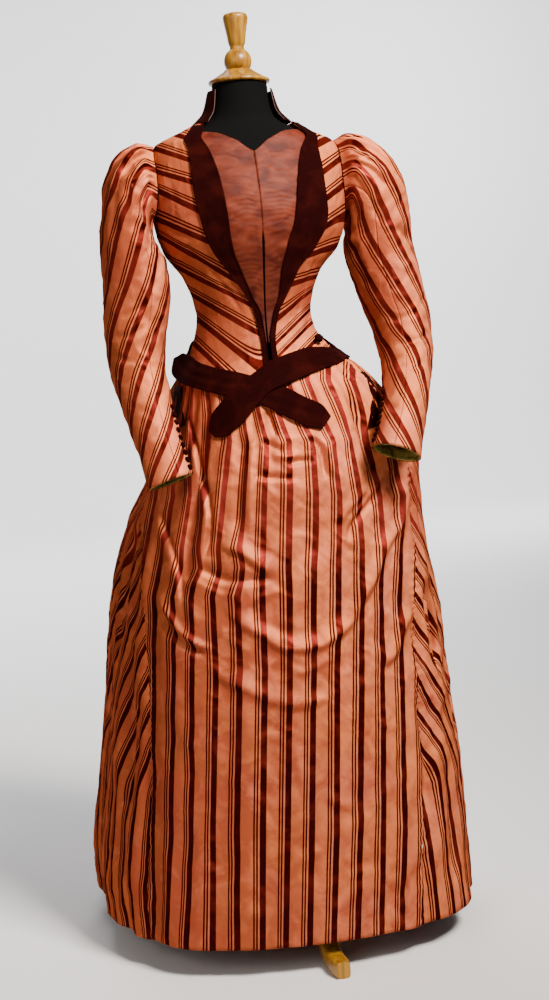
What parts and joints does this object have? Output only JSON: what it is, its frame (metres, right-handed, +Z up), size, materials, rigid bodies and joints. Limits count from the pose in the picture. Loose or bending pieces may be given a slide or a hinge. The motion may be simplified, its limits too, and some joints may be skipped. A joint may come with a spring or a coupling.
{
  "type": "victorian visiting dress on a dress form",
  "caption": "Striped silk visiting dress of the late 1880s with velvet lapels and crossed sash, on a black dress form with wooden neck cap and tripod",
  "frame": {"origin": "on the floor, at the middle of the box round the whole part", "axes": "+Z up, the dress faces -Y, the viewer's right of its front is +X"},
  "size_m": [0.6468, 0.7861, 1.587],
  "materials": {
    "striped_silk": "copper silk with burgundy satin and hairline stripes",
    "rust_silk": "crinkled rust silk",
    "burgundy_velvet": "dark burgundy velvet pile",
    "olive_silk": "olive gold silk facing",
    "black_jersey": "black stretched jersey",
    "varnished_wood": "light varnished turned wood",
    "brushed_steel": "plain steel tube"
  },
  "bodies": {
    "root": {"belt_back": "burgundy_velvet", "bodice_back_left": "striped_silk", "bodice_back_right": "striped_silk", "bodice_front_left": "striped_silk", "bodice_front_right": "striped_silk", "bodice_side_left": "striped_silk", "bodice_side_right": "striped_silk", "collar": "burgundy_velvet", "cuff_button_left_1": "burgundy_velvet", "cuff_button_left_2": "burgundy_velvet", "cuff_button_left_3": "burgundy_velvet", "cuff_button_left_4": "burgundy_velvet", "cuff_button_left_5": "burgundy_velvet", "cuff_button_left_6": "burgundy_velvet", "cuff_button_left_7": "burgundy_velvet", "cuff_button_left_8": "burgundy_velvet", "cuff_button_left_9": "burgundy_velvet", "cuff_button_right_1": "burgundy_velvet", "cuff_button_right_2": "burgundy_velvet", "cuff_button_right_3": "burgundy_velvet", "cuff_button_right_4": "burgundy_velvet", "cuff_button_right_5": "burgundy_velvet", "cuff_button_right_6": "burgundy_velvet", "cuff_button_right_7": "burgundy_velvet", "cuff_button_right_8": "burgundy_velvet", "cuff_button_right_9": "burgundy_velvet", "cuff_facing_left": "olive_silk", "cuff_facing_right": "olive_silk", "finial": "varnished_wood", "form_torso": "black_jersey", "hip_tab_left": "burgundy_velvet", "hip_tab_right": "burgundy_velvet", "hub": "varnished_wood", "lapel_left": "burgundy_velvet", "lapel_right": "burgundy_velvet", "leg_front": "varnished_wood", "leg_left": "varnished_wood", "leg_right": "varnished_wood", "neck_cap": "varnished_wood", "plastron_left": "rust_silk", "plastron_right": "rust_silk", "pole": "brushed_steel", "sash_knot": "burgundy_velvet", "sash_over": "burgundy_velvet", "sash_under": "burgundy_velvet", "skirt_back_left": "striped_silk", "skirt_back_right": "striped_silk", "skirt_front": "striped_silk", "skirt_side_left": "striped_silk", "skirt_side_right": "striped_silk", "sleeve_top_left": "striped_silk", "sleeve_top_right": "striped_silk", "sleeve_under_left": "striped_silk", "sleeve_under_right": "striped_silk"}
  },
  "joints": []
}
